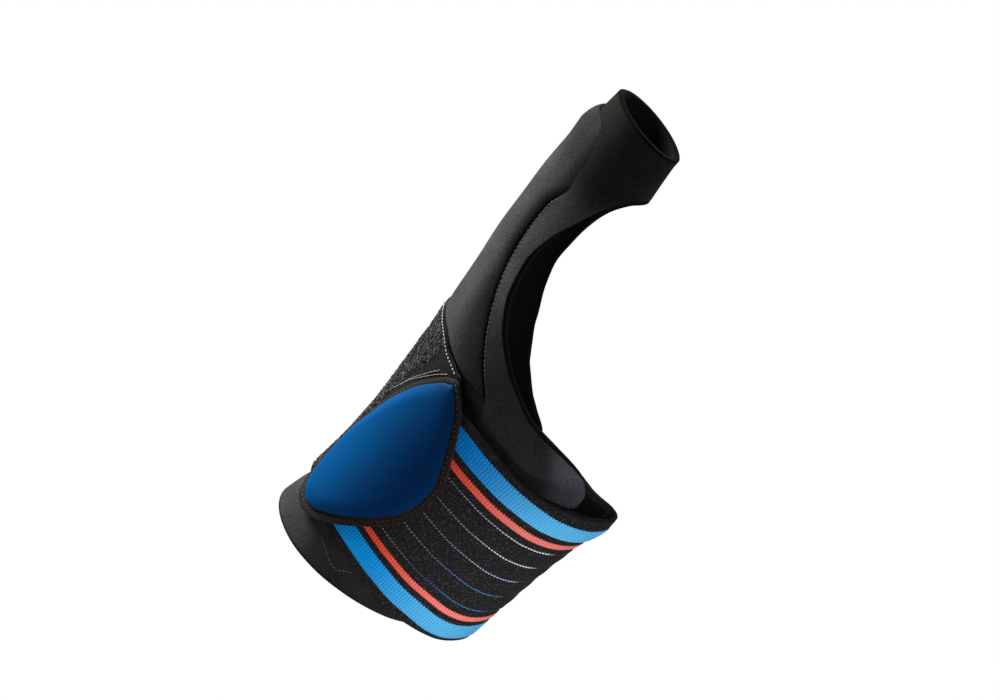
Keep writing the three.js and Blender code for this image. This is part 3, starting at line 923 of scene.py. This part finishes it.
def loop_pile():
    """Pile of the loop patch: thin half rings that stand on it, each turned its own way."""
    draw = np.random.default_rng(PILE_SEED)
    u, v, spin, shade, size, keep = draw.random((6, PILE_LOOPS))
    u, v = mix(*PILE_SHARES_ALONG, u), mix(*PILE_SHARES_UP, v)
    kept = keep < pile_at(u, v)
    u, v, spin, shade, size = (values[kept] for values in (u, v, spin, shade, size))
    angle, height = patch_place(u, v)
    offset = STRAP_FACE - PILE_SINK
    centre, out = body_point(angle, height, offset), outward(angle, height, offset)
    level = unit(np.cross((0, 0, 1), out))
    steep = np.cross(out, level)
    spin = 2 * np.pi * spin[:, None]
    run = level * np.cos(spin) + steep * np.sin(spin)
    aside = np.cross(run, out)
    arch = np.repeat(np.linspace(0, np.pi, PILE_ARCH), PILE_SIDES)
    turn = np.tile(2 * np.pi * np.arange(PILE_SIDES) / PILE_SIDES, PILE_ARCH)
    radius = PILE_RADIUS * mix(*PILE_SIZES, size)[:, None]
    girth = radius + PILE_THREAD * np.cos(turn)
    points = centre[:, None] + (girth * np.cos(arch))[..., None] * run[:, None]
    points = points + (girth * np.sin(arch))[..., None] * out[:, None]
    points = points + (PILE_THREAD * np.sin(turn))[None, :, None] * aside[:, None]
    faces = tube_faces(len(centre), PILE_ARCH, PILE_SIDES)
    return make_piece("loop_patch_pile", points.reshape(-1, 3), faces, share=np.repeat(shade, len(arch)))


def leaf_outline(turn, low_margin, high_margin):
    """Angle and height on the leaf's outline, moved out square to it by a margin that changes from its
    lower to its upper end. It runs up the front edge and down the back edge as turn goes round a circle."""

    def lift(at):
        """Share of the way up at a turn."""
        return (1 - np.cos(at)) / 2

    def edge(at):
        """The plate's own outline at a turn, both ways in millimetres."""
        height = mix(LEAF["z"][0], LEAF["z"][-1], lift(at))
        angle = np.where(np.sin(at) >= 0, along(LEAF, "front", height), along(LEAF, "back", height))
        return np.stack([angle * LEAF_GIRTH, height], axis=-1)

    ahead = unit(edge(turn + LEAF_STEP) - edge(turn - LEAF_STEP))
    girth, height = np.moveaxis(edge(turn), -1, 0)
    margin = mix(low_margin, high_margin, lift(turn))
    return (girth + margin * ahead[..., 1]) / LEAF_GIRTH, height - margin * ahead[..., 0]


def leaf_sheet(name, margins, inner_offset, edge, dome):
    """Leaf-shaped sheet made of rings that shrink from its outline to its middle, raised to a dome that
    is flat inside and falls to the outline as a quarter sine of a smooth distance from it: the root of
    2 over the sum of the outline's pieces, each divided by the cube of its distance."""
    turn = 2 * np.pi * (np.arange(LEAF_SIDES) + 0.5) / LEAF_SIDES
    rim_angle, rim_height = leaf_outline(turn, *margins)
    share = np.linspace(1, 0, LEAF_RINGS)[:-1, None] ** LEAF_CROWDING
    angle = mix(rim_angle.mean(), rim_angle, share)
    height = mix(rim_height.mean(), rim_height, share)
    angle, height = (np.append(values, values.mean()) for values in (angle, height))
    across, up = (angle[:, None] - rim_angle) * LEAF_GIRTH, height[:, None] - rim_height
    rim = np.stack([rim_angle * LEAF_GIRTH, rim_height])
    piece = np.hypot(*(np.roll(rim, -1, axis=1) - np.roll(rim, 1, axis=1))) / 2
    inwards = np.sqrt(2 / (piece / np.maximum(np.hypot(across, up), 1e-3) ** 3).sum(axis=1))
    crown = np.sin(np.pi / 2 * np.minimum(inwards / PLATE_ROUND, 1))
    inner = body_point(angle, height, inner_offset)
    outer = body_point(angle, height, inner_offset + edge + dome * crown)
    index = np.arange((LEAF_RINGS - 1) * LEAF_SIDES).reshape(-1, LEAF_SIDES)
    turned = np.roll(index, -1, axis=1)
    rings = np.stack([index[:-1], turned[:-1], turned[1:], index[1:]], -1).reshape(-1, 4)
    middle = np.full(LEAF_SIDES, index.size)
    fan = np.stack([index[-1], turned[-1], middle], -1)
    uv = np.stack([(angle - LEAF["back"].min()) * LEAF_GIRTH, height], axis=-1)
    return cloth_shell(name, inner, outer, [rings, fan], uv)


def tab_stitches():
    """Small stitches all round the tab, between its edge and the plate."""
    turn = np.linspace(0, 2 * np.pi, LINE_POINTS)
    way = leaf_outline(turn, TAB_MARGIN_LOW / 2, TAB_MARGIN_HIGH / 2)
    return stitch_bars("tab_stitches", [way], TAB_FACE, TAB_STITCH)


def patch_seam_stitches():
    """Light stitches along the patch's upper edge, beside the padded pocket."""
    angle, height = patch_place(np.linspace(*PATCH_SEAM_SHARES, LINE_POINTS), 1.0)
    way = angle, height - PATCH_SEAM_DROP
    return stitch_bars("patch_seam_stitches", [way], STRAP_FACE, PATCH_SEAM_STITCH)


def patch_twin_stitches():
    """Two light rows on the patch that run up beside the tab."""
    ways = []
    for side, top in TWIN_TO.items():
        height = np.linspace(TWIN_FROM, top, LINE_POINTS)
        ways.append((along(TWIN_ROWS, side, height), height))
    return stitch_bars("patch_twin_stitches", ways, STRAP_FACE, TWIN_STITCH)


def strap_threads():
    """Dotted threads in the grooves between the strap's ribs."""
    u = np.linspace(*THREAD_SHARES, LINE_POINTS)
    wander = along(WEAVE_WANDER, "up", strap_place(u, 0)[0])
    across = [THREAD_FIRST + line * THREAD_PITCH + wander for line in range(THREAD_LINES)]
    ways = [strap_place(u, place / STRAP_WIDTH) for place in across]
    return stitch_bars("strap_threads", ways, STRAP_FACE - STRIPE_HEIGHT, STRAP_THREAD_STITCH)


def wrap_corner_stitches():
    """Light line of stitches that turns a corner on the wrap, below the strap."""
    steps = np.linspace(0, CORNER_ROW["step"][-1], LINE_POINTS)
    way = along(CORNER_ROW, "angle", steps), along(CORNER_ROW, "z", steps)
    return stitch_bars("wrap_corner_stitches", [way], WRAP_FACE, CORNER_STITCH)


def stay_seam_stitches():
    """Dull stitches on the sleeve along both side edges of the padded pocket."""
    ways = []
    for edge, beside, high in STAY_SEAMS:
        height = np.linspace(STAY_EDGES["z"][0] + STAY_SEAM_FOOT, high, LINE_POINTS)
        ways.append((along(STAY_EDGES, edge, height) + beside, height))
    return stitch_bars("stay_seam_stitches", ways, STAY_SEAM_FACES, STAY_STITCH)


def strap_end_stitches():
    """Two rows across the strap where its far end is sewn down."""
    v = np.linspace(*STRAP_END_SHARES, LINE_POINTS)
    ways = [strap_place(u, v) for u in STRAP_END_ROWS]
    return stitch_bars("strap_end_stitches", ways, STRAP_FACE, STRAP_END_STITCH)


# Dressing the frame: each piece, its finish and the solid it stands for
NEOPRENE_CLOTH = neoprene_finish()
PALE_THREAD = thread_finish("pale_thread", (0.36, 0.35, 0.34), (0.60, 0.59, 0.58))
TAN_THREAD = thread_finish("tan_thread", (0.22, 0.19, 0.16), (0.34, 0.30, 0.26))
DIM_THREAD = thread_finish("dim_thread", (0.09, 0.085, 0.08), (0.16, 0.15, 0.14))
TAB_THREAD = thread_finish("tab_thread", (0.008, 0.007, 0.006), (0.15, 0.12, 0.095))
DARK_THREAD = thread_finish("dark_thread", (0.055, 0.052, 0.050), (0.11, 0.105, 0.10))


def dress(piece, finish, node=None):
    """Gives a piece its finish and its body, and lets it stand for a solid."""
    piece.data.materials.append(finish)
    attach(piece, "root")
    if node:
        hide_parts(node)
    return piece


sleeve = dress(thumb_sleeve(), NEOPRENE_CLOTH, "thumb_sleeve")
stay = dress(stay_panel(), NEOPRENE_CLOTH, "stay_panel")
wrap = dress(wrist_wrap(), NEOPRENE_CLOTH, "wrist_wrap")
strap = dress(elastic_strap(), elastic_finish(), "elastic_strap")
patch = dress(loop_patch(), loop_finish(), "loop_patch")
pile = dress(loop_pile(), pile_finish())
tab = dress(
    leaf_sheet("badge_tab_cloth", (TAB_MARGIN_LOW, TAB_MARGIN_HIGH), TAB_INNER, TAB_CLOTH, 0.0),
    tab_finish(), "badge_tab",
)
dress(
    leaf_sheet("badge_plate_dome", (0, 0), PLATE_INNER, PLATE_EDGE, PLATE_DOME),
    plate_finish(), "badge_plate",
)
dress(tab_stitches(), TAB_THREAD)
dress(patch_seam_stitches(), PALE_THREAD)
dress(patch_twin_stitches(), TAN_THREAD)
dress(strap_threads(), strap_thread_finish())
dress(wrap_corner_stitches(), DIM_THREAD)
dress(stay_seam_stitches(), DARK_THREAD)
dress(strap_end_stitches(), DARK_THREAD)


# Studio, in metres
FLOOR_HEIGHT, FLOOR_RADIUS, WALL_HEIGHT = -0.35, 6.0, 8.0
FLOOR_ROWS, FLOOR_COLUMNS = 24, 49
CAMERA_ELEVATION, CAMERA_ROLL = math.radians(25), math.radians(45)
CAMERA_DISTANCE, CAMERA_LENS, CAMERA_REACH = 1.6, 195.25, 100
CAMERA_AIM = Vector((-0.0204, 0.0053, 0.0413))
SURROUND_STRENGTH = 0.15


def studio_floor():
    """Wide white floor far below the brace that curves up all round into a wall: an ellipse's quarter,
    turned about the middle. It shows, and sends no light up."""
    v, u = grid(FLOOR_ROWS, FLOOR_COLUMNS)
    bend, turn = np.pi / 2 * v, 2 * np.pi * u
    radius = FLOOR_RADIUS * np.sin(bend)
    height = FLOOR_HEIGHT + WALL_HEIGHT * (1 - np.cos(bend))
    points = np.stack([radius * np.cos(turn), radius * np.sin(turn), height], axis=-1) / MM
    faces = grid_faces(FLOOR_ROWS, FLOOR_COLUMNS, joined_from=0)
    floor = make_piece("floor", points.reshape(-1, 3), [faces])
    finish = Finish(
        "floor", base_color=(0, 0, 0, 1), roughness=1.0, specular_ior_level=0,
        emission_color=(1, 1, 1, 1), emission_strength=1.0,
    )
    floor.data.materials.append(finish.material)
    for ray in ("visible_diffuse", "visible_glossy", "visible_shadow"):
        setattr(floor, ray, False)


def add_light(name, data, place, target, gloss):
    """Light that faces a target. It lights, does not show, and is mirrored only where gloss is wanted."""
    light = bpy.data.objects.new(name, data)
    light.location = place
    light.rotation_euler = (Vector(target) - Vector(place)).to_track_quat("-Z", "Y").to_euler()
    light.visible_camera = False
    light.visible_glossy = gloss
    bpy.context.scene.collection.objects.link(light)


def area_light(name, place, target, size, watts, gloss=False):
    """Soft round light."""
    data = bpy.data.lights.new(name, "AREA")
    data.shape = "DISK"
    data.size = size
    data.energy = watts
    add_light(name, data, place, target, gloss)


def spot_light(name, place, target, size, watts, cone, gloss=False):
    """Round light whose cone fades out to its edge."""
    data = bpy.data.lights.new(name, "SPOT")
    data.shadow_soft_size = size
    data.energy = watts
    data.spot_size = math.radians(cone)
    data.spot_blend = 1.0
    add_light(name, data, place, target, gloss)


def studio_camera():
    """Camera at the photograph's angle: above the front, rolled so that the thumb points up right."""
    back = Vector((0, -math.cos(CAMERA_ELEVATION), math.sin(CAMERA_ELEVATION)))
    right = Vector((1, 0, 0))
    up = back.cross(right)
    across = right * math.cos(CAMERA_ROLL) + up * math.sin(CAMERA_ROLL)
    above = up * math.cos(CAMERA_ROLL) - right * math.sin(CAMERA_ROLL)
    data = bpy.data.cameras.new("camera")
    data.lens = CAMERA_LENS
    data.clip_end = CAMERA_REACH
    camera = bpy.data.objects.new("camera", data)
    facing = Matrix((across, above, back)).transposed().to_4x4()
    camera.matrix_world = Matrix.Translation(CAMERA_AIM + back * CAMERA_DISTANCE) @ facing
    bpy.context.scene.collection.objects.link(camera)
    bpy.context.scene.camera = camera


def studio_world():
    """Even pale surround."""
    world = bpy.data.worlds.new("surround")
    world.use_nodes = True
    background = world.node_tree.nodes["Background"]
    background.inputs["Color"].default_value = (1, 1, 1, 1)
    background.inputs["Strength"].default_value = SURROUND_STRENGTH
    bpy.context.scene.world = world


studio_floor()
studio_world()
studio_camera()
area_light("left_key", (-0.82, 0.10, 0.30), (-0.03, 0, 0.05), size=0.5, watts=14.5, gloss=True)
area_light("back_fill", (0.35, 0.80, 0.45), (0, 0, 0.03), size=0.6, watts=5)
area_light("right_fill", (0.30, -0.10, 0.20), (0.02, -0.01, 0.03), size=0.15, watts=0.35)
spot_light("right_side", (0.09, -0.12, -0.045), (0.015, -0.018, -0.004), size=0.03, watts=0.6, cone=62)
bpy.context.scene.view_settings.view_transform = "Standard"
